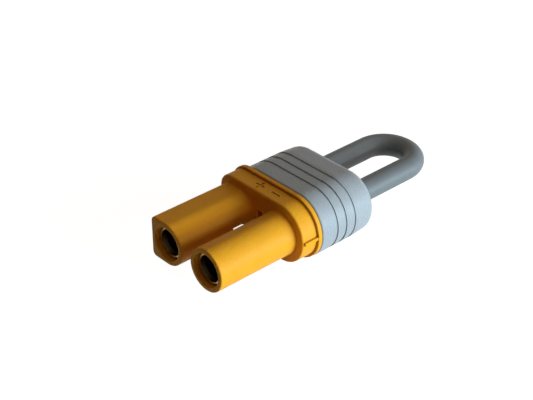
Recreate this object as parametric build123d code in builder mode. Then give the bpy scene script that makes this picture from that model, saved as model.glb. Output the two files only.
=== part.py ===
# Battery loop connector: a two-way power plug with a short wire loop that joins its two contacts.
# +Y runs from the mating mouths to the loop and +Z is up. The square barrel is at -X, the round one at +X.
# The origin is under the middle of the part, on the plane that the cover's flat underside rests on.
from build123d import *
import os

os.makedirs("parts", exist_ok=True)

# Driving dimensions, in millimetres.
pitch = 10.9
total_length = 59.1

# Barrels of the housing, which slide into the mating shell.
barrel_diameter = 8.55
barrel_length = 17.75
square_corner = 1.05
mouth_round = 0.3
mouth_bore_radius = 3.3
mouth_bore_depth = 2.6
mouth_lead_in = 0.12
barrel_root_round = 0.3

# Collar and flange behind the barrels.
collar_proud = 1.655
collar_length = 3.6
collar_corner = 3.1
square_end_trim = 0.15
collar_edge_round = 0.35
flange_proud = 0.52
flange_thickness = 0.83
flange_corner = 4.0
flange_edge_round = 0.15
rib_proud = 0.38
rib_height = 0.64
rib_rise = 0.18
rib_start = 0.4

# Moulded details of the collar.
web_slot_width = 1.2
web_slot_height = 4.0
web_slot_depth = 1.8
mark_size = 2.2
mark_stroke = 0.4
mark_depth = 0.15
mark_offset = 2.1
mark_place = 1.9

# Window in the underside, below the contact in the square barrel.
window_start = 12.1
window_length = 8.35
window_top = 0.35
window_inner_margin = 0.1
window_outer_reach = 2.65
window_corner = 0.3

# Spigot of the housing inside the cover, with a snap ridge above and below.
spigot_length = 3.4
snap_proud = 0.3
snap_width = 0.8
snap_length = 9.0
snap_setback = 1.1

# Socket contacts for a round pin.
pin_diameter = 4.5
socket_setback = 1.0
socket_wall = 0.3
socket_depth = 15.5
lip_radius = 2.95
lip_length = 2.2
lip_run_out = 0.5
lead_in = 0.35
lead_in_length = 0.9
slit_count = 4
slit_width = 0.35
slit_angle = 45
slit_start = 4.4
slit_length = 11.2
shoulder_radius = 3.5
shoulder_start = 21.4
shoulder_length = 1.6
shank_radius = 2.75
shank_length = 5.5
barb_radius = 3.45
barb_length = 0.9
barb_setback = 0.45
barb_count = 2
cup_radius = 1.95
cup_depth = 6.0
cup_cut_length = 2.8

# Wire of the loop and its solder joints.
wire_diameter = 4.5
conductor_diameter = 2.5
strip_length = 1.0
solder_setback = 0.2
solder_nose = 0.7

# Rear cover.
cover_proud = 0.62
cover_length = 14.0
cover_straight = 9.2
cover_taper = 0.33
cover_rear_round = 1.75
cover_front_round = 0.3
cover_wall = 1.3
cover_rear_wall = 2.0
groove_first = 3.68
groove_pitch = 2.27
groove_count = 3
groove_width = 0.55
groove_depth = 0.18
groove_edge_round = 0.12

# Clearances between pieces.
slide_gap = 0.05
seat_gap = 0.1
joint_gap = 0.1
bond_gap = 0.02

# Places that follow from the dimensions above. Distances run back from the mating face.
half_pitch = pitch / 2
barrel_radius = barrel_diameter / 2
pin_radius = pin_diameter / 2
wire_radius = wire_diameter / 2
conductor_radius = conductor_diameter / 2
collar_radius = barrel_radius + collar_proud
cover_radius = collar_radius + cover_proud
collar_end = barrel_length + collar_length
flange_radius = collar_radius + flange_proud
flange_end = collar_end + flange_thickness
cavity_radius = cover_radius - cover_wall
spigot_radius = cavity_radius - seat_gap
spigot_end = flange_end + spigot_length
snap_place = spigot_end - snap_setback
contact_bore_radius = lip_radius + slide_gap
shoulder_bore_radius = shoulder_radius + slide_gap
shoulder_end = shoulder_start + shoulder_length
shank_end = shoulder_end + shank_length
cup_floor = shank_end - cup_depth
insulation_start = shank_end + strip_length
loop_radius = half_pitch
loop_centre = total_length - loop_radius - wire_radius
cover_start = flange_end + joint_gap
cover_end = cover_start + cover_length
cover_rear_radius = cover_radius - cover_taper
axis_height = cover_radius
face_y = -total_length / 2
sides = {"positive": -1, "negative": 1}


def facing_front(distance):
    """Plane across the part, a distance behind the mating face. It looks out of the mouths, with its Y up."""
    return Plane(origin=(0, face_y + distance, axis_height), x_dir=(1, 0, 0), z_dir=(0, -1, 0))


def facing_rear(distance):
    """Plane across the part, a distance behind the mating face. It looks towards the loop, with its Y up."""
    return Plane(origin=(0, face_y + distance, axis_height), x_dir=(-1, 0, 0), z_dir=(0, 1, 0))


def along_contact(side):
    """Upright plane through one contact's axis: its X is the distance behind the mating face, its Y is up."""
    return Plane(origin=(side * half_pitch, face_y, axis_height), x_dir=(0, 1, 0), z_dir=(1, 0, 0))


def contact_axis(side):
    """Axis of one contact, which points backwards."""
    return Axis((side * half_pitch, face_y, axis_height), (0, 1, 0))


def edges_at(edges, distance):
    """Those of the edges that lie wholly in the plane a distance behind the mating face."""
    place = face_y + distance
    return edges.filter_by_position(Axis.Y, place, place)


def fits_in(edge, half_width, half_height):
    """True for an edge inside a window of that size, centred between the two contact axes."""
    box = edge.bounding_box()
    reach = max(-box.min.X, box.max.X)
    rise = max(axis_height - box.min.Z, box.max.Z - axis_height)
    return reach < half_width + slide_gap and rise < half_height + slide_gap


def keyed_slot(radius, corner):
    """Slot outline with a half round at the round barrel and, at the other end, a trimmed end with two corners."""
    reach = radius - square_end_trim
    with Locations((-reach / 2, 0)):
        Rectangle(pitch + reach, 2 * radius)
    fillet(vertices().group_by(Axis.X)[0], radius=corner)
    with Locations((half_pitch, 0)):
        Circle(radius)


def barrel_outlines(radius):
    """Outlines of both barrels: round at +X, and square on its outer half at -X."""
    with Locations((-half_pitch - radius / 2, 0)):
        Rectangle(radius, 2 * radius)
    fillet(vertices().group_by(Axis.X)[0], radius=square_corner)
    with Locations((-half_pitch, 0), (half_pitch, 0)):
        Circle(radius)


def contact_profile():
    """Half section of a socket contact, drawn on the along_contact plane."""
    bore_end = socket_setback + socket_depth
    lip_end = socket_setback + lip_length
    spring_radius = pin_radius + socket_wall
    points = [
        (socket_setback, pin_radius + lead_in),
        (socket_setback, lip_radius),
        (lip_end, lip_radius),
        (lip_end + lip_run_out, spring_radius),
        (shoulder_start, spring_radius),
        (shoulder_start, shoulder_radius),
        (shoulder_end, shoulder_radius),
        (shoulder_end, shank_radius),
        (shoulder_end + barb_setback, shank_radius),
    ]
    for barb in range(barb_count):
        barb_start = shoulder_end + barb_setback + barb * barb_length
        points += [(barb_start, barb_radius), (barb_start + barb_length, shank_radius)]
    points += [
        (shank_end, shank_radius),
        (shank_end, cup_radius),
        (cup_floor, cup_radius),
        (cup_floor, 0),
        (bore_end, 0),
        (bore_end, pin_radius),
        (socket_setback + lead_in_length, pin_radius),
    ]
    Polyline(*points, close=True)


def loop_path(start):
    """Centreline of the loop: two straight legs that start a distance back, and the half circle between them."""
    left_turn = (-half_pitch, face_y + loop_centre)
    right_turn = (half_pitch, face_y + loop_centre)
    with BuildLine(Plane.XY.offset(axis_height)) as path:
        Line((-half_pitch, face_y + start), left_turn)
        ThreePointArc(left_turn, (0, face_y + loop_centre + loop_radius), right_turn)
        Line(right_turn, (half_pitch, face_y + start))
    return path.wire()


# The moulded housing: collar, two barrels, flange and the spigot that carries the cover.
with BuildPart() as connector_housing:
    with BuildSketch(facing_front(barrel_length)):
        keyed_slot(collar_radius, collar_corner)
    extrude(amount=-collar_length)
    fillet(edges_at(edges(), barrel_length), radius=collar_edge_round)
    with BuildSketch(facing_front(0)):
        barrel_outlines(barrel_radius)
    extrude(amount=-barrel_length)
    fillet(edges_at(edges(), 0), radius=mouth_round)
    root_edges = edges_at(edges(), barrel_length).filter_by(
        lambda edge: fits_in(edge, half_pitch + barrel_radius, barrel_radius)
    )
    fillet(root_edges, radius=barrel_root_round)
    with BuildSketch(facing_front(collar_end)):
        keyed_slot(flange_radius, flange_corner)
    extrude(amount=-flange_thickness)
    flange_edges = (edges_at(edges(), collar_end) + edges_at(edges(), flange_end)).filter_by(
        lambda edge: not fits_in(edge, half_pitch + collar_radius, collar_radius)
    )
    fillet(flange_edges, radius=flange_edge_round)
    with BuildSketch(facing_front(barrel_length + rib_start)):
        with Locations((0, rib_rise)):
            Rectangle(2 * (half_pitch + collar_radius + rib_proud), rib_height)
    extrude(amount=-(collar_length - rib_start))
    with BuildSketch(facing_front(flange_end)):
        SlotCenterToCenter(pitch, 2 * spigot_radius)
    extrude(amount=-spigot_length)
    with BuildSketch(facing_front(snap_place - snap_width / 2)):
        Rectangle(snap_length, 2 * (spigot_radius + snap_proud))
    extrude(amount=-snap_width)
    with BuildSketch(facing_front(0)):
        with Locations((-half_pitch, 0), (half_pitch, 0)):
            Circle(contact_bore_radius)
    extrude(amount=-shoulder_start, mode=Mode.SUBTRACT)
    with BuildSketch(facing_front(shoulder_start)):
        with Locations((-half_pitch, 0), (half_pitch, 0)):
            Circle(shoulder_bore_radius)
    extrude(amount=-(spigot_end - shoulder_start), mode=Mode.SUBTRACT)
    with BuildSketch(facing_front(0)):
        with Locations((-half_pitch, 0), (half_pitch, 0)):
            Circle(mouth_bore_radius)
    extrude(amount=-mouth_bore_depth, mode=Mode.SUBTRACT)
    mouth_edges = edges_at(edges(), 0).filter_by(GeomType.CIRCLE).filter_by(
        lambda edge: abs(edge.radius - mouth_bore_radius) < slide_gap
    )
    chamfer(mouth_edges, length=mouth_lead_in)
    with BuildSketch(facing_front(barrel_length)):
        Rectangle(web_slot_width, web_slot_height)
    extrude(amount=-web_slot_depth, mode=Mode.SUBTRACT)
    window_inner = half_pitch - barrel_radius - window_inner_margin
    window_outer = half_pitch + window_outer_reach
    window_middle = (window_inner + window_outer) / 2
    window_place = face_y + window_start + window_length / 2
    with BuildSketch(Plane.XY):
        with Locations((-window_middle, window_place)):
            RectangleRounded(window_outer - window_inner, window_length, window_corner)
    extrude(amount=axis_height + window_top, mode=Mode.SUBTRACT)
    with BuildSketch(Plane.XY.offset(axis_height + collar_radius)):
        mark_y = face_y + barrel_length + mark_place
        with Locations((-mark_offset, mark_y), (mark_offset, mark_y)):
            Rectangle(mark_size, mark_stroke)
        with Locations((-mark_offset, mark_y)):
            Rectangle(mark_stroke, mark_size)
    extrude(amount=-mark_depth, mode=Mode.SUBTRACT)
connector_housing.part.label = "connector_housing"
export_step(connector_housing.part, "parts/connector_housing.step")

# The rear cover: a one-piece cap that snaps over the spigot and lets the two wire ends out.
with BuildPart() as rear_cover:
    with BuildSketch(facing_rear(cover_start)):
        SlotCenterToCenter(pitch, 2 * cover_radius)
    extrude(amount=cover_straight)
    with BuildSketch(facing_rear(cover_start + cover_straight)):
        SlotCenterToCenter(pitch, 2 * cover_radius)
    with BuildSketch(facing_rear(cover_end)):
        SlotCenterToCenter(pitch, 2 * cover_rear_radius)
    loft(ruled=True)
    fillet(edges_at(edges(), cover_end), radius=cover_rear_round)
    fillet(edges_at(edges(), cover_start), radius=cover_front_round)
    for groove in range(groove_count):
        groove_front = cover_start + groove_first + groove * groove_pitch - groove_width / 2
        with BuildSketch(facing_front(groove_front)):
            SlotCenterToCenter(pitch, 2 * (cover_radius + groove_depth))
            SlotCenterToCenter(pitch, 2 * (cover_radius - groove_depth), mode=Mode.SUBTRACT)
        extrude(amount=-groove_width, mode=Mode.SUBTRACT)
        groove_rims = (edges_at(edges(), groove_front) + edges_at(edges(), groove_front + groove_width)).filter_by(
            lambda edge: not fits_in(edge, half_pitch + cover_radius - groove_depth, cover_radius - groove_depth)
        )
        fillet(groove_rims, radius=groove_edge_round)
    with BuildSketch(facing_rear(cover_start)):
        SlotCenterToCenter(pitch, 2 * cavity_radius)
    extrude(amount=cover_length - cover_rear_wall, mode=Mode.SUBTRACT)
    with BuildSketch(facing_front(snap_place - snap_width / 2 - seat_gap)):
        Rectangle(snap_length + 2 * seat_gap, 2 * (cavity_radius + snap_proud))
    extrude(amount=-(snap_width + 2 * seat_gap), mode=Mode.SUBTRACT)
    with BuildSketch(facing_front(cover_end)):
        with Locations((-half_pitch, 0), (half_pitch, 0)):
            Circle(wire_radius + slide_gap)
    extrude(amount=cover_rear_wall, mode=Mode.SUBTRACT)
rear_cover.part.label = "rear_cover"
export_step(rear_cover.part, "parts/rear_cover.step")

# The two socket contacts, turned from plated brass. Each has slits in its spring and a cut-open solder cup.
for name, side in sides.items():
    with BuildPart() as socket_contact:
        with BuildSketch(along_contact(side)):
            with BuildLine():
                contact_profile()
            make_face()
        revolve(axis=contact_axis(side))
        with BuildSketch(along_contact(side)):
            with Locations((shank_end - cup_cut_length / 2, shank_radius)):
                Rectangle(cup_cut_length, 2 * shank_radius)
        extrude(amount=shank_radius, both=True, mode=Mode.SUBTRACT)
        with BuildSketch(facing_front(slit_start)):
            with Locations((side * half_pitch, 0)):
                with PolarLocations(0, slit_count // 2, start_angle=slit_angle, angular_range=180):
                    Rectangle(2 * shank_radius, slit_width)
        extrude(amount=-slit_length, mode=Mode.SUBTRACT)
    socket_contact.part.label = f"{name}_socket"
    export_step(socket_contact.part, f"parts/{name}_socket.step")

# The solder that fills each cup around the bare conductor.
for name, side in sides.items():
    solder_end = shank_end - solder_setback
    with BuildPart() as solder_joint:
        with BuildSketch(along_contact(side)):
            with BuildLine():
                Polyline(
                    (cup_floor + bond_gap, conductor_radius + bond_gap),
                    (cup_floor + bond_gap, cup_radius - bond_gap),
                    (solder_end, cup_radius - bond_gap),
                    (solder_end + solder_nose, conductor_radius + 2 * bond_gap),
                    (solder_end + solder_nose, conductor_radius + bond_gap),
                    close=True,
                )
            make_face()
        revolve(axis=contact_axis(side))
    solder_joint.part.label = f"{name}_solder"
    export_step(solder_joint.part, f"parts/{name}_solder.step")

# The stranded conductor, bare inside the cups and covered from just behind them.
conductor_start = cup_floor + slide_gap
conductor_path = loop_path(conductor_start)
with BuildPart() as loop_conductor:
    with BuildSketch(facing_front(conductor_start)):
        with Locations((-half_pitch, 0)):
            Circle(conductor_radius)
    sweep(path=conductor_path)
loop_conductor.part.label = "loop_conductor"
export_step(loop_conductor.part, "parts/loop_conductor.step")

# The silicone insulation of the loop.
insulation_path = loop_path(insulation_start)
with BuildPart() as loop_insulation:
    with BuildSketch(facing_front(insulation_start)):
        with Locations((-half_pitch, 0)):
            Circle(wire_radius)
            Circle(conductor_radius + bond_gap, mode=Mode.SUBTRACT)
    sweep(path=insulation_path)
loop_insulation.part.label = "loop_insulation"
export_step(loop_insulation.part, "parts/loop_insulation.step")

print("insulation length", round(insulation_path.length, 2), "conductor length", round(conductor_path.length, 2))
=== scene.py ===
"""Looks of the battery loop connector: finishes of its moulded, plated and rubber parts, and a studio.

Lengths are written in millimetres and turned to metres by one function, because the frame is in metres.
+Y runs from the mating mouths to the wire loop, +X from the square barrel to the round one, and +Z is up.
"""

import logging
import math
from dataclasses import dataclass
from enum import Enum
from typing import Any

import bpy
from mathutils import Euler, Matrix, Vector


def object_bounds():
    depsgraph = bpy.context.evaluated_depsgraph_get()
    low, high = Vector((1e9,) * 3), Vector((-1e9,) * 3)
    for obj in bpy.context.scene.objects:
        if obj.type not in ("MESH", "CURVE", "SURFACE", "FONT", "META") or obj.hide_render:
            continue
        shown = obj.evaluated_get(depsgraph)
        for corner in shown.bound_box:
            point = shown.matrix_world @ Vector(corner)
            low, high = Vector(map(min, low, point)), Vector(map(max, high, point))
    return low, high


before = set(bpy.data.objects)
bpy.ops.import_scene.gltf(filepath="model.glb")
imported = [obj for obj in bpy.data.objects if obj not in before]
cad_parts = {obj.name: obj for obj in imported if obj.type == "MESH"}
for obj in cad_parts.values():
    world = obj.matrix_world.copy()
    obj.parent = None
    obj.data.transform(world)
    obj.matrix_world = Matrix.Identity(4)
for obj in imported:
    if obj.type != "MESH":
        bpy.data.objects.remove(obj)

CAD_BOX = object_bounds()
LOG = logging.getLogger("connector")

MM_PER_METRE = 1000.0

# The sRGB curve: a straight foot up to the knee, and a power above it.
BYTE_TOP = 255.0
SRGB_KNEE = 0.04045
SRGB_FOOT_SLOPE = 12.92
SRGB_LIFT = 0.055
SRGB_POWER = 2.4

# Sockets of a Mix node that mixes colours.
MIX_FACTOR = 0
MIX_FIRST = 6
MIX_SECOND = 7
MIX_COLOUR = 2

# The wave texture turns its coordinate by this many radians for each unit of scale.
WAVE_RADIANS = 20.0

# An area lamp of this many watts, a metre away, makes a white surface that faces it show as white.
WATTS_AT_A_METRE = 4.0 * math.pi


def mm(length: float) -> float:
    """Turn millimetres to the metres of the frame."""
    return length / MM_PER_METRE


def per_metre(size: float) -> float:
    """Scale of a noise texture whose features are `size` millimetres apart."""
    return MM_PER_METRE / size


def linear(code: str) -> tuple[float, float, float, float]:
    """Turn an sRGB hex code to a linear colour.

    Args:
        code: Six hex digits.

    Returns:
        Red, green, blue and alpha, in linear light.
    """
    parts = [int(code[i:i + 2], 16) / BYTE_TOP for i in (0, 2, 4)]
    red, green, blue = (
        part / SRGB_FOOT_SLOPE if part <= SRGB_KNEE
        else ((part + SRGB_LIFT) / (1.0 + SRGB_LIFT)) ** SRGB_POWER
        for part in parts
    )
    return red, green, blue, 1.0


def add_node(tree: bpy.types.NodeTree, kind: str, inputs: dict[Any, Any] | None = None,
             **settings: Any) -> Any:
    """Add a node to a tree, with its settings, its values and its links.

    Args:
        tree: The node tree.
        kind: Name of the node type.
        inputs: A value or another node's output socket for each named or numbered input.
        **settings: Attributes of the node.

    Returns:
        The new node.
    """
    node = tree.nodes.new(kind)
    for name, value in settings.items():
        setattr(node, name, value)
    for key, value in (inputs or {}).items():
        if isinstance(value, bpy.types.NodeSocket):
            tree.links.new(value, node.inputs[key])
        else:
            node.inputs[key].default_value = value
    return node


def new_material(name: str) -> tuple[bpy.types.Material, bpy.types.NodeTree]:
    """Make an empty material with nodes.

    Args:
        name: The material's name.

    Returns:
        The material and its node tree, with no nodes in it.
    """
    material = bpy.data.materials.new(name)
    material.use_nodes = True
    material.node_tree.nodes.clear()
    return material, material.node_tree


def dress(node: str, material: bpy.types.Material) -> None:
    """Give a carried-over part its finish.

    Args:
        node: Name of the part.
        material: The finish.
    """
    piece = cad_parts[node]
    for slot in piece.material_slots:
        slot.material = material
    if not piece.material_slots:
        piece.data.materials.append(material)
    LOG.info("%s dressed in %s", node, material.name)


@dataclass(frozen=True)
class MouldedNylon:
    """Nylon 66 out of a spark-eroded mould: to the eye an even colour, a satin sheen and a fine matt grain.

    Attributes:
        name: The material's name.
        colour: The lighter end of its colour.
        shade: The darker end of its colour.
        corner_shade: Colour of the painted shade in corners and grooves.
        roughness: Middle of its roughness.
        specular: Strength of its gloss.
        sheen_spread: How far the roughness goes either way over the grain.
        ior: Index of refraction.
        corner_samples: Rays that tell how open a place is.
        corner_reach: How far the rays look, in millimetres.
        corner_deep: Openness of a place that gets the most painted shade.
        corner_open: Openness of a place that gets none.
        corner_shade_most: Share of painted shade at its most.
        mottle_size: Width of the drift in colour, in millimetres.
        mottle_detail: Number of finer layers in the drift.
        mottle_speckle: Strength of each finer layer.
        grain_size: Width of the grain, in millimetres.
        grain_depth: Depth of the grain, in millimetres.
        grain_detail: Number of finer layers in the grain.
        grain_speckle: Strength of each finer layer.
    """

    name: str
    colour: str
    shade: str
    corner_shade: str
    roughness: float
    specular: float
    sheen_spread: float = 0.10
    ior: float = 1.53
    corner_samples: int = 8
    corner_reach: float = 0.5
    corner_deep: float = 0.45
    corner_open: float = 0.85
    corner_shade_most: float = 0.7
    mottle_size: float = 3.5
    mottle_detail: float = 5.0
    mottle_speckle: float = 0.8
    grain_size: float = 0.40
    grain_depth: float = 0.07
    grain_detail: float = 2.0
    grain_speckle: float = 0.6

    def build(self) -> bpy.types.Material:
        """Build the material.

        Returns:
            The finished material.
        """
        material, tree = new_material(self.name)
        place = add_node(tree, "ShaderNodeTexCoord").outputs["Object"]
        # Pigment is never quite even: it drifts by a shade over a few millimetres, with a fine speckle.
        mottle = add_node(tree, "ShaderNodeTexNoise", {
            "Vector": place, "Scale": per_metre(self.mottle_size),
            "Detail": self.mottle_detail, "Roughness": self.mottle_speckle})
        tone = add_node(tree, "ShaderNodeMix", {
            MIX_FACTOR: mottle.outputs["Fac"],
            MIX_FIRST: linear(self.colour), MIX_SECOND: linear(self.shade)}, data_type="RGBA")
        # Painted shade: inner corners and grooves are darkened by how enclosed they are, which draws a dark
        # line along each.
        corner = add_node(tree, "ShaderNodeAmbientOcclusion", {"Distance": mm(self.corner_reach)},
                          samples=self.corner_samples, only_local=True)
        shade_share = add_node(tree, "ShaderNodeMapRange", {
            "Value": corner.outputs["AO"], "From Min": self.corner_deep, "From Max": self.corner_open,
            "To Min": self.corner_shade_most, "To Max": 0.0})
        corner_shaded = add_node(tree, "ShaderNodeMix", {
            MIX_FACTOR: shade_share.outputs["Result"],
            MIX_FIRST: tone.outputs[MIX_COLOUR], MIX_SECOND: linear(self.corner_shade)}, data_type="RGBA")
        # The eroded mould leaves a grain about 0.05 mm wide, drawn wider and deeper so that it shows.
        grain = add_node(tree, "ShaderNodeTexNoise", {
            "Vector": place, "Scale": per_metre(self.grain_size),
            "Detail": self.grain_detail, "Roughness": self.grain_speckle})
        sheen = add_node(tree, "ShaderNodeMapRange", {
            "Value": grain.outputs["Fac"], "To Min": self.roughness - self.sheen_spread,
            "To Max": self.roughness + self.sheen_spread})
        relief = add_node(tree, "ShaderNodeBump", {
            "Height": grain.outputs["Fac"], "Strength": 1.0, "Distance": mm(self.grain_depth)})
        shader = add_node(tree, "ShaderNodeBsdfPrincipled", {
            "Base Color": corner_shaded.outputs[MIX_COLOUR], "Roughness": sheen.outputs["Result"],
            "IOR": self.ior, "Specular IOR Level": self.specular, "Normal": relief.outputs["Normal"]})
        add_node(tree, "ShaderNodeOutputMaterial", {"Surface": shader.outputs["BSDF"]})
        return material


@dataclass(frozen=True)
class GoldPlating:
    """Turned brass under thin gold: to the eye a warm dull shine, and nearly black in the bore, which is
    painted shade.

    Attributes:
        name: The material's name.
        colour: Colour of the plating, dulled by handling.
        bore_shade: Colour of the painted shade in the bores.
        half_pitch: Distance of each contact's axis from the middle, in millimetres.
        axis_height: Height of the axes, in millimetres.
        bore_shade_radius: Distance from the axis where the painted shade ends, in millimetres.
        bore_shade_edge: Width over which the painted shade fades out, in millimetres.
        roughness: Roughness all over.
        ring_pitch: Distance between the marks of the tool, in millimetres.
        ring_depth: Depth of the marks, in millimetres.
        ring_strength: Share of that depth that shows.
        ring_waver: How far the marks waver.
        ring_detail: Number of finer layers in the waver.
    """

    name: str
    colour: str
    bore_shade: str
    half_pitch: float
    axis_height: float
    bore_shade_radius: float
    bore_shade_edge: float = 0.12
    roughness: float = 0.28
    ring_pitch: float = 1.57
    ring_depth: float = 0.002
    ring_strength: float = 0.6
    ring_waver: float = 0.4
    ring_detail: float = 2.0

    def build(self) -> bpy.types.Material:
        """Build the material.

        Returns:
            The finished material.
        """
        material, tree = new_material(self.name)
        place = add_node(tree, "ShaderNodeTexCoord").outputs["Object"]
        # Distance from the nearer contact's axis, which tells the bore from the outer skin; inside it the
        # colour is darkened to near black as painted shade.
        parts = add_node(tree, "ShaderNodeSeparateXYZ", {0: place})
        side = add_node(tree, "ShaderNodeMath", {0: parts.outputs["X"]}, operation="ABSOLUTE")
        across = add_node(tree, "ShaderNodeMath", {0: side.outputs[0], 1: mm(self.half_pitch)},
                          operation="SUBTRACT")
        rise = add_node(tree, "ShaderNodeMath", {0: parts.outputs["Z"], 1: mm(self.axis_height)},
                        operation="SUBTRACT")
        spoke = add_node(tree, "ShaderNodeCombineXYZ", {"X": across.outputs[0], "Z": rise.outputs[0]})
        radius = add_node(tree, "ShaderNodeVectorMath", {0: spoke.outputs[0]}, operation="LENGTH")
        in_bore_shade = add_node(tree, "ShaderNodeMapRange", {
            "Value": radius.outputs["Value"], "From Min": mm(self.bore_shade_radius - self.bore_shade_edge),
            "From Max": mm(self.bore_shade_radius), "To Min": 1.0, "To Max": 0.0})
        tone = add_node(tree, "ShaderNodeMix", {
            MIX_FACTOR: in_bore_shade.outputs["Result"],
            MIX_FIRST: linear(self.colour), MIX_SECOND: linear(self.bore_shade)}, data_type="RGBA")
        # The tool leaves marks about 0.1 mm apart, drawn much coarser here and kept faint.
        rings = add_node(tree, "ShaderNodeTexWave", {
            "Vector": place, "Scale": math.tau * per_metre(self.ring_pitch) / WAVE_RADIANS,
            "Distortion": self.ring_waver, "Detail": self.ring_detail}, bands_direction="Y")
        relief = add_node(tree, "ShaderNodeBump", {
            "Height": rings.outputs["Fac"], "Strength": self.ring_strength,
            "Distance": mm(self.ring_depth)})
        shader = add_node(tree, "ShaderNodeBsdfPrincipled", {
            "Base Color": tone.outputs[MIX_COLOUR], "Metallic": 1.0, "Roughness": self.roughness,
            "Normal": relief.outputs["Normal"]})
        add_node(tree, "ShaderNodeOutputMaterial", {"Surface": shader.outputs["BSDF"]})
        return material


@dataclass(frozen=True)
class BareMetal:
    """A soft bright metal, drawn or set from a melt: to the eye slightly uneven, with a dull bloom.

    Attributes:
        name: The material's name.
        colour: Colour of the clean metal.
        bloom: Colour of the bloom on it.
        roughness: Roughness all over.
        ripple_size: Width of the unevenness, in millimetres.
        ripple_depth: Depth of the unevenness, in millimetres.
        ripple_detail: Number of finer layers in it.
        ripple_speckle: Strength of each finer layer.
    """

    name: str
    colour: str
    bloom: str
    roughness: float
    ripple_size: float
    ripple_depth: float
    ripple_detail: float = 2.0
    ripple_speckle: float = 0.5

    def build(self) -> bpy.types.Material:
        """Build the material.

        Returns:
            The finished material.
        """
        material, tree = new_material(self.name)
        place = add_node(tree, "ShaderNodeTexCoord").outputs["Object"]
        ripple = add_node(tree, "ShaderNodeTexNoise", {
            "Vector": place, "Scale": per_metre(self.ripple_size),
            "Detail": self.ripple_detail, "Roughness": self.ripple_speckle})
        tone = add_node(tree, "ShaderNodeMix", {
            MIX_FACTOR: ripple.outputs["Fac"],
            MIX_FIRST: linear(self.colour), MIX_SECOND: linear(self.bloom)}, data_type="RGBA")
        relief = add_node(tree, "ShaderNodeBump", {
            "Height": ripple.outputs["Fac"], "Strength": 1.0, "Distance": mm(self.ripple_depth)})
        shader = add_node(tree, "ShaderNodeBsdfPrincipled", {
            "Base Color": tone.outputs[MIX_COLOUR], "Metallic": 1.0, "Roughness": self.roughness,
            "Normal": relief.outputs["Normal"]})
        add_node(tree, "ShaderNodeOutputMaterial", {"Surface": shader.outputs["BSDF"]})
        return material


@dataclass(frozen=True)
class SiliconeRubber:
    """Extruded silicone insulation: to the eye matt and slightly soft, with a faint bloom of talc.

    Attributes:
        name: The material's name.
        colour: Colour of the clean rubber.
        bloom: Colour of the talc on it.
        roughness: Roughness all over.
        specular: Strength of its gloss.
        ior: Index of refraction.
        bloom_size: Width of the clouds of talc, in millimetres.
        bloom_detail: Number of finer layers in the clouds.
        bloom_speckle: Strength of each finer layer.
        grain_size: Width of the grain, in millimetres.
        grain_depth: Depth of the grain, in millimetres.
        grain_detail: Number of finer layers in the grain.
        grain_speckle: Strength of each finer layer.
    """

    name: str
    colour: str
    bloom: str
    roughness: float = 0.52
    specular: float = 0.45
    ior: float = 1.41
    bloom_size: float = 2.5
    bloom_detail: float = 4.0
    bloom_speckle: float = 0.6
    grain_size: float = 0.35
    grain_depth: float = 0.02
    grain_detail: float = 2.0
    grain_speckle: float = 0.5

    def build(self) -> bpy.types.Material:
        """Build the material.

        Returns:
            The finished material.
        """
        material, tree = new_material(self.name)
        place = add_node(tree, "ShaderNodeTexCoord").outputs["Object"]
        cloud = add_node(tree, "ShaderNodeTexNoise", {
            "Vector": place, "Scale": per_metre(self.bloom_size),
            "Detail": self.bloom_detail, "Roughness": self.bloom_speckle})
        tone = add_node(tree, "ShaderNodeMix", {
            MIX_FACTOR: cloud.outputs["Fac"],
            MIX_FIRST: linear(self.colour), MIX_SECOND: linear(self.bloom)}, data_type="RGBA")
        # The die leaves a grain finer than the picture can show, drawn wider so that it does.
        grain = add_node(tree, "ShaderNodeTexNoise", {
            "Vector": place, "Scale": per_metre(self.grain_size),
            "Detail": self.grain_detail, "Roughness": self.grain_speckle})
        relief = add_node(tree, "ShaderNodeBump", {
            "Height": grain.outputs["Fac"], "Strength": 1.0, "Distance": mm(self.grain_depth)})
        shader = add_node(tree, "ShaderNodeBsdfPrincipled", {
            "Base Color": tone.outputs[MIX_COLOUR], "Roughness": self.roughness, "IOR": self.ior,
            "Specular IOR Level": self.specular, "Normal": relief.outputs["Normal"]})
        add_node(tree, "ShaderNodeOutputMaterial", {"Surface": shader.outputs["BSDF"]})
        return material


@dataclass
class Shell:
    """The moulded outside of the plug: the housing with both barrels, and the grooved cover behind it."""

    # Each moulding's corner colour is painted shade for its corners and grooves, not grease or dust.
    housing: MouldedNylon = MouldedNylon(
        name="nylon_66_orange_moulded_satin", colour="FAAD2B", shade="EA9C22", corner_shade="2A1A08",
        roughness=0.45, specular=0.08)
    cover: MouldedNylon = MouldedNylon(
        name="nylon_66_grey_moulded_satin", colour="ABADAE", shade="9B9D9E", corner_shade="5C5852",
        roughness=0.45, specular=0.2, corner_shade_most=0.4)

    def build(self) -> None:
        """Dress both mouldings."""
        dress("connector_housing", self.housing.build())
        dress("rear_cover", self.cover.build())


@dataclass
class Contacts:
    """The two turned sockets, and the solder in their cups."""

    # The bores of the sockets are painted near black as shade, out to the given radius; it is not a film on
    # the metal.
    plating: GoldPlating = GoldPlating(
        name="brass_gold_plated_turned", colour="B8935A", bore_shade="382D1B",
        half_pitch=5.45, axis_height=6.55, bore_shade_radius=2.72)
    solder: BareMetal = BareMetal(
        name="tin_solder_set_from_melt", colour="C9C8C4", bloom="B9B8B3",
        roughness=0.28, ripple_size=0.6, ripple_depth=0.02)

    def build(self) -> None:
        """Dress each socket and its solder."""
        plating = self.plating.build()
        solder = self.solder.build()
        for side in ("positive", "negative"):
            dress(f"{side}_socket", plating)
            dress(f"{side}_solder", solder)


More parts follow.
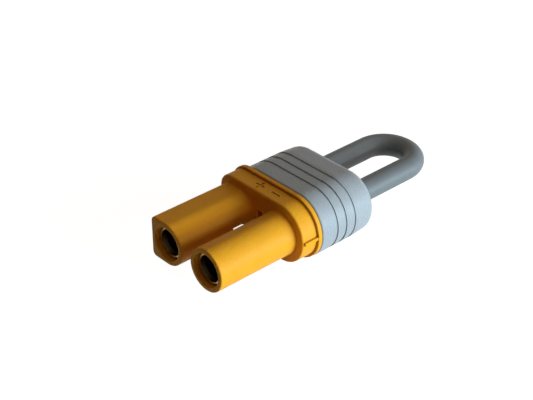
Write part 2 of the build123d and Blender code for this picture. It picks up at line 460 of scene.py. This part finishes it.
@dataclass
class WireLoop:
    """The wire that joins the two sockets: its tinned strands and its insulation."""

    strands: BareMetal = BareMetal(
        name="copper_tinned_drawn", colour="C4BFB6", bloom="B5AFA5",
        roughness=0.35, ripple_size=0.3, ripple_depth=0.01)
    rubber: SiliconeRubber = SiliconeRubber(
        name="silicone_rubber_grey_extruded", colour="676968", bloom="757776")

    def build(self) -> None:
        """Dress the conductor and the insulation."""
        dress("loop_conductor", self.strands.build())
        dress("loop_insulation", self.rubber.build())


class LampKind(Enum):
    """Lamps of the studio."""

    KEY = "key"
    STRIP = "strip"
    SIDE = "side"
    TOP = "top"
    FILL = "fill"


@dataclass(frozen=True)
class Lamp:
    """An oblong soft box that faces the object.

    Attributes:
        kind: Which lamp it is.
        direction: Where it hangs, seen from the object.
        width: Its width, in millimetres.
        height: Its height, in millimetres.
        level: Its strength. At 1, a white surface that faces it shows as white.
        colour: Red, green and blue of its light.
        distance: How far it is from the object, in millimetres.
        glints: Whether it shows in glossy surfaces.
    """

    kind: LampKind
    direction: tuple[float, float, float]
    width: float
    height: float
    level: float
    colour: tuple[float, float, float]
    distance: float = 600.0
    glints: bool = True

    def build(self, target: Vector) -> None:
        """Hang the lamp and aim it.

        Args:
            target: The point that it faces.
        """
        reach = mm(self.distance)
        data = bpy.data.lights.new(f"{self.kind.value}_lamp", "AREA")
        data.shape = "RECTANGLE"
        data.size = mm(self.width)
        data.size_y = mm(self.height)
        data.color = self.colour
        data.energy = self.level * WATTS_AT_A_METRE * reach ** 2
        lamp = bpy.data.objects.new(data.name, data)
        lamp.visible_glossy = self.glints
        aim = Vector(self.direction).normalized()
        lamp.location = target + aim * reach
        lamp.rotation_euler = aim.to_track_quat("Z", "Y").to_euler()
        bpy.context.scene.collection.objects.link(lamp)
        LOG.info("%s lamp at %.2f m", self.kind.value, reach)


@dataclass
class Studio:
    """Floor, lamps, surroundings and camera.

    Attributes:
        lamps: The lamps. The last one comes from the hidden side, and gives no glints along the edges.
        floor_size: Side of the floor, in millimetres.
        floor_gap: How far the floor lies under the object, so that their faces don't coincide.
        floor_tone: Reflectance of the floor in the light that it throws back on the object.
        floor_glow: Brightness of the floor where it is seen, before any lamp reaches it.
        floor_catch: Share of the lamps' light on the floor where it is seen, which draws the shadow.
        backdrop_glow: Brightness of the surroundings where they are seen, near the far floor's.
        camera_place: Place of the camera, in millimetres.
        camera_azimuth: Its turn round +Z, in degrees.
        camera_elevation: How far it looks down, in degrees.
        focal_pixels: Its focal length, in pixels of the photograph.
        frame_width: Width of the photograph, in pixels.
        sensor_width: Width of its sensor, in millimetres.
        nearest_seen: Distance from which it sees, in millimetres.
    """

    lamps: tuple[Lamp, ...] = (
        Lamp(kind=LampKind.KEY, direction=(0.806, 0.400, 0.165), width=580.0, height=350.0,
             level=0.61, colour=(0.95, 0.94, 1.0)),
        Lamp(kind=LampKind.STRIP, direction=(0.824, 0.400, 0.017), width=560.0, height=60.0,
             level=0.87, colour=(0.52, 0.83, 1.0)),
        Lamp(kind=LampKind.SIDE, direction=(0.974, 0.207, 0.090), width=200.0, height=100.0,
             level=0.32, colour=(0.62, 0.82, 1.0)),
        Lamp(kind=LampKind.TOP, direction=(0.0, 0.0, 1.0), width=500.0, height=500.0,
             level=0.118, colour=(1.0, 0.84, 0.56)),
        Lamp(kind=LampKind.FILL, direction=(-0.866, 0.500, 0.050), width=500.0, height=120.0,
             level=0.20, colour=(1.0, 0.95, 0.88), glints=False),
    )
    floor_size: float = 6000.0
    floor_gap: float = 0.02
    floor_tone: float = 0.70
    floor_glow: float = 0.93
    floor_catch: float = 0.50
    backdrop_glow: float = 0.95
    camera_place: tuple[float, float, float] = (147.134, -143.737, 136.737)
    camera_azimuth: float = 47.779
    camera_elevation: float = 32.458
    focal_pixels: float = 1279.85
    frame_width: float = 533.0
    sensor_width: float = 36.0
    nearest_seen: float = 10.0

    def seen_directly(self, tree: bpy.types.NodeTree) -> bpy.types.NodeSocket:
        """Make a factor that is 1 for what the camera sees straight, in gloss or through glass.

        Args:
            tree: The node tree to add it to.

        Returns:
            The output socket with the factor.
        """
        path = add_node(tree, "ShaderNodeLightPath")
        some = add_node(tree, "ShaderNodeMath", {
            0: path.outputs["Is Camera Ray"], 1: path.outputs["Is Glossy Ray"]}, operation="MAXIMUM")
        every = add_node(tree, "ShaderNodeMath", {
            0: some.outputs[0], 1: path.outputs["Is Transmission Ray"]}, operation="MAXIMUM")
        return every.outputs[0]

    def build_floor(self) -> None:
        """Lay a white floor that keeps a faint shadow of the object."""
        bpy.ops.object.select_all(action="DESELECT")
        bpy.ops.mesh.primitive_plane_add(size=mm(self.floor_size), location=(0, 0, -mm(self.floor_gap)))
        floor = bpy.context.active_object
        floor.name = "floor"
        material, tree = new_material("floor_white_paper")
        plain = add_node(tree, "ShaderNodeBsdfDiffuse", {"Color": (*[self.floor_tone] * 3, 1.0)})
        glow = add_node(tree, "ShaderNodeEmission", {"Strength": self.floor_glow})
        catcher = add_node(tree, "ShaderNodeBsdfDiffuse", {"Color": (*[self.floor_catch] * 3, 1.0)})
        both = add_node(tree, "ShaderNodeAddShader", {0: glow.outputs[0], 1: catcher.outputs[0]})
        mixed = add_node(tree, "ShaderNodeMixShader", {
            0: self.seen_directly(tree), 1: plain.outputs[0], 2: both.outputs[0]})
        add_node(tree, "ShaderNodeOutputMaterial", {"Surface": mixed.outputs[0]})
        floor.data.materials.append(material)
        LOG.info("floor laid")

    def build_world(self) -> None:
        """Surround the object with a white that is seen, straight and in gloss, and lights nothing."""
        world = bpy.data.worlds.new("studio")
        bpy.context.scene.world = world
        world.use_nodes = True
        tree = world.node_tree
        tree.nodes.clear()
        dark = add_node(tree, "ShaderNodeBackground", {"Strength": 0.0})
        white = add_node(tree, "ShaderNodeBackground", {
            "Color": (1.0, 1.0, 1.0, 1.0), "Strength": self.backdrop_glow})
        mixed = add_node(tree, "ShaderNodeMixShader", {
            0: self.seen_directly(tree), 1: dark.outputs[0], 2: white.outputs[0]})
        add_node(tree, "ShaderNodeOutputWorld", {"Surface": mixed.outputs[0]})

    def build_camera(self) -> None:
        """Place the camera where the photograph was taken from."""
        data = bpy.data.cameras.new("camera")
        data.sensor_width = self.sensor_width
        data.lens = self.focal_pixels * self.sensor_width / self.frame_width
        data.clip_start = mm(self.nearest_seen)
        camera = bpy.data.objects.new("camera", data)
        camera.location = [mm(value) for value in self.camera_place]
        tilt = math.radians(90.0 - self.camera_elevation)
        camera.rotation_euler = Euler((tilt, 0.0, math.radians(self.camera_azimuth)))
        bpy.context.scene.collection.objects.link(camera)
        bpy.context.scene.camera = camera

    def build(self) -> None:
        """Build the studio round the object."""
        low, high = CAD_BOX
        target = (Vector(low) + Vector(high)) / 2
        self.build_floor()
        self.build_world()
        for lamp in self.lamps:
            lamp.build(target)
        self.build_camera()
        bpy.context.scene.view_settings.view_transform = "Standard"


def main() -> None:
    """Dress the object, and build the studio."""
    logging.basicConfig(level=logging.INFO, format="%(message)s")
    for assembly in (Shell(), Contacts(), WireLoop(), Studio()):
        assembly.build()


if __name__ == "__main__":
    main()
